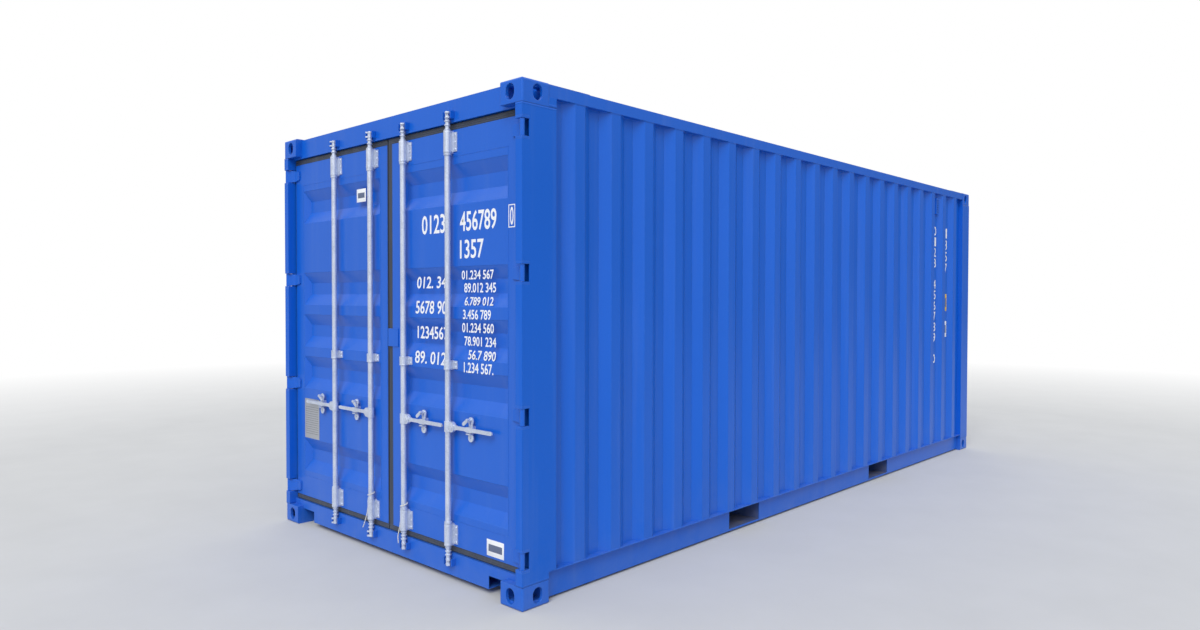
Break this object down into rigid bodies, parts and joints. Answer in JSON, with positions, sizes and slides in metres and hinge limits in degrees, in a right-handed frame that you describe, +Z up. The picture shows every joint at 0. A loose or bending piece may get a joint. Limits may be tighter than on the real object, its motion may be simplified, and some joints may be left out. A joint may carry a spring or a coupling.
{
  "type": "shipping container",
  "caption": "Corrugated steel dry freight container on corner castings, with two hinged doors, turning lock rods with handles and catches, a plywood floor and forklift pockets.",
  "frame": {"origin": "centre of the footprint, on the underside of the bottom corner castings", "axes": "+X along the container towards the blind end (the doors are at -X), +Y to the left-hand side as seen from outside the doors, +Z up"},
  "size_m": [6.058, 2.438, 2.591],
  "materials": {
    "container_paint": "semi-gloss blue container paint over steel",
    "underframe_paint": "blue container paint in the shade of the underframe",
    "galvanised_steel": "hot-dip galvanised",
    "gasket_rubber": "matt black door gasket",
    "floor_plywood": "oiled hardwood plywood",
    "rope_fibre": "twisted off-white fibre rope",
    "data_plate_metal": "bare stamped plate"
  },
  "bodies": {
    "container": {"bottom_corner_castings": "container_paint", "top_corner_castings": "container_paint", "rear_post_right": "container_paint", "rear_post_left": "container_paint", "rear_post_heads": "container_paint", "front_posts": "container_paint", "door_header": "container_paint", "door_sill": "container_paint", "front_rails": "container_paint", "top_side_rails": "container_paint", "bottom_side_rails": "container_paint", "pocket_mouths": "container_paint", "side_wall_right": "container_paint", "side_wall_left": "container_paint", "front_wall": "container_paint", "roof_panel": "container_paint", "roof_ends": "container_paint", "roof_corner_plates": "container_paint", "floor_boards": "floor_plywood", "cross_members": "underframe_paint", "pocket_roofs": "underframe_paint", "pocket_sides": "underframe_paint", "pocket_straps": "underframe_paint", "cam_keepers": "container_paint", "hinge_lugs": "container_paint", "hinge_pins": "galvanised_steel", "ventilators": "container_paint"},
    "right_door": {"right_door_frame": "container_paint", "right_door_panel": "container_paint", "right_door_gasket": "gasket_rubber", "right_door_hinges": "container_paint", "right_door_bearings": "galvanised_steel", "right_door_retainers": "galvanised_steel", "right_door_rope": "rope_fibre", "centre_tab": "container_paint"},
    "left_door": {"left_door_frame": "container_paint", "left_door_panel": "container_paint", "left_door_gasket": "gasket_rubber", "left_door_hinges": "container_paint", "left_door_bearings": "galvanised_steel", "left_door_retainers": "galvanised_steel", "left_door_rope": "rope_fibre", "data_plate": "data_plate_metal"},
    "rod_right_outer": {"lock_rod_right_outer": "galvanised_steel", "handle_right_outer": "galvanised_steel"},
    "rod_right_inner": {"lock_rod_right_inner": "galvanised_steel", "handle_right_inner": "galvanised_steel"},
    "rod_left_inner": {"lock_rod_left_inner": "galvanised_steel", "handle_left_inner": "galvanised_steel"},
    "rod_left_outer": {"lock_rod_left_outer": "galvanised_steel", "handle_left_outer": "galvanised_steel"},
    "catch_right_outer": {"catch_right_outer": "galvanised_steel"},
    "catch_right_inner": {"catch_right_inner": "galvanised_steel"},
    "catch_left_inner": {"catch_left_inner": "galvanised_steel"},
    "catch_left_outer": {"catch_left_outer": "galvanised_steel"}
  },
  "joints": [
    {"name": "right_door_hinge", "type": "hinge", "parent": "container", "child": "right_door", "pos_m": [-3.015, -1.205, 1.2975], "axis": [0, 0, 1], "range_deg": [0, 260]},
    {"name": "left_door_hinge", "type": "hinge", "parent": "container", "child": "left_door", "pos_m": [-3.015, 1.205, 1.2975], "axis": [0, 0, -1], "range_deg": [0, 260]},
    {"name": "rod_turn_right_outer", "type": "hinge", "parent": "right_door", "child": "rod_right_outer", "pos_m": [-3.0065, -0.596, 0.838], "axis": [0, 0, 1], "range_deg": [-100, 0]},
    {"name": "rod_turn_right_inner", "type": "hinge", "parent": "right_door", "child": "rod_right_inner", "pos_m": [-3.0065, -0.174, 0.838], "axis": [0, 0, 1], "range_deg": [-100, 0]},
    {"name": "rod_turn_left_inner", "type": "hinge", "parent": "left_door", "child": "rod_left_inner", "pos_m": [-3.0065, 0.174, 0.838], "axis": [0, 0, -1], "range_deg": [-100, 0]},
    {"name": "rod_turn_left_outer", "type": "hinge", "parent": "left_door", "child": "rod_left_outer", "pos_m": [-3.0065, 0.596, 0.838], "axis": [0, 0, -1], "range_deg": [-100, 0]},
    {"name": "catch_swing_right_outer", "type": "hinge", "parent": "right_door", "child": "catch_right_outer", "pos_m": [-3.0185, -0.778, 0.89], "axis": [-1, 0, 0], "range_deg": [-16, 54]},
    {"name": "catch_swing_right_inner", "type": "hinge", "parent": "right_door", "child": "catch_right_inner", "pos_m": [-3.0185, -0.356, 0.89], "axis": [-1, 0, 0], "range_deg": [-16, 54]},
    {"name": "catch_swing_left_inner", "type": "hinge", "parent": "left_door", "child": "catch_left_inner", "pos_m": [-3.0185, 0.356, 0.89], "axis": [1, 0, 0], "range_deg": [-16, 54]},
    {"name": "catch_swing_left_outer", "type": "hinge", "parent": "left_door", "child": "catch_left_outer", "pos_m": [-3.0185, 0.778, 0.89], "axis": [1, 0, 0], "range_deg": [-16, 54]}
  ]
}
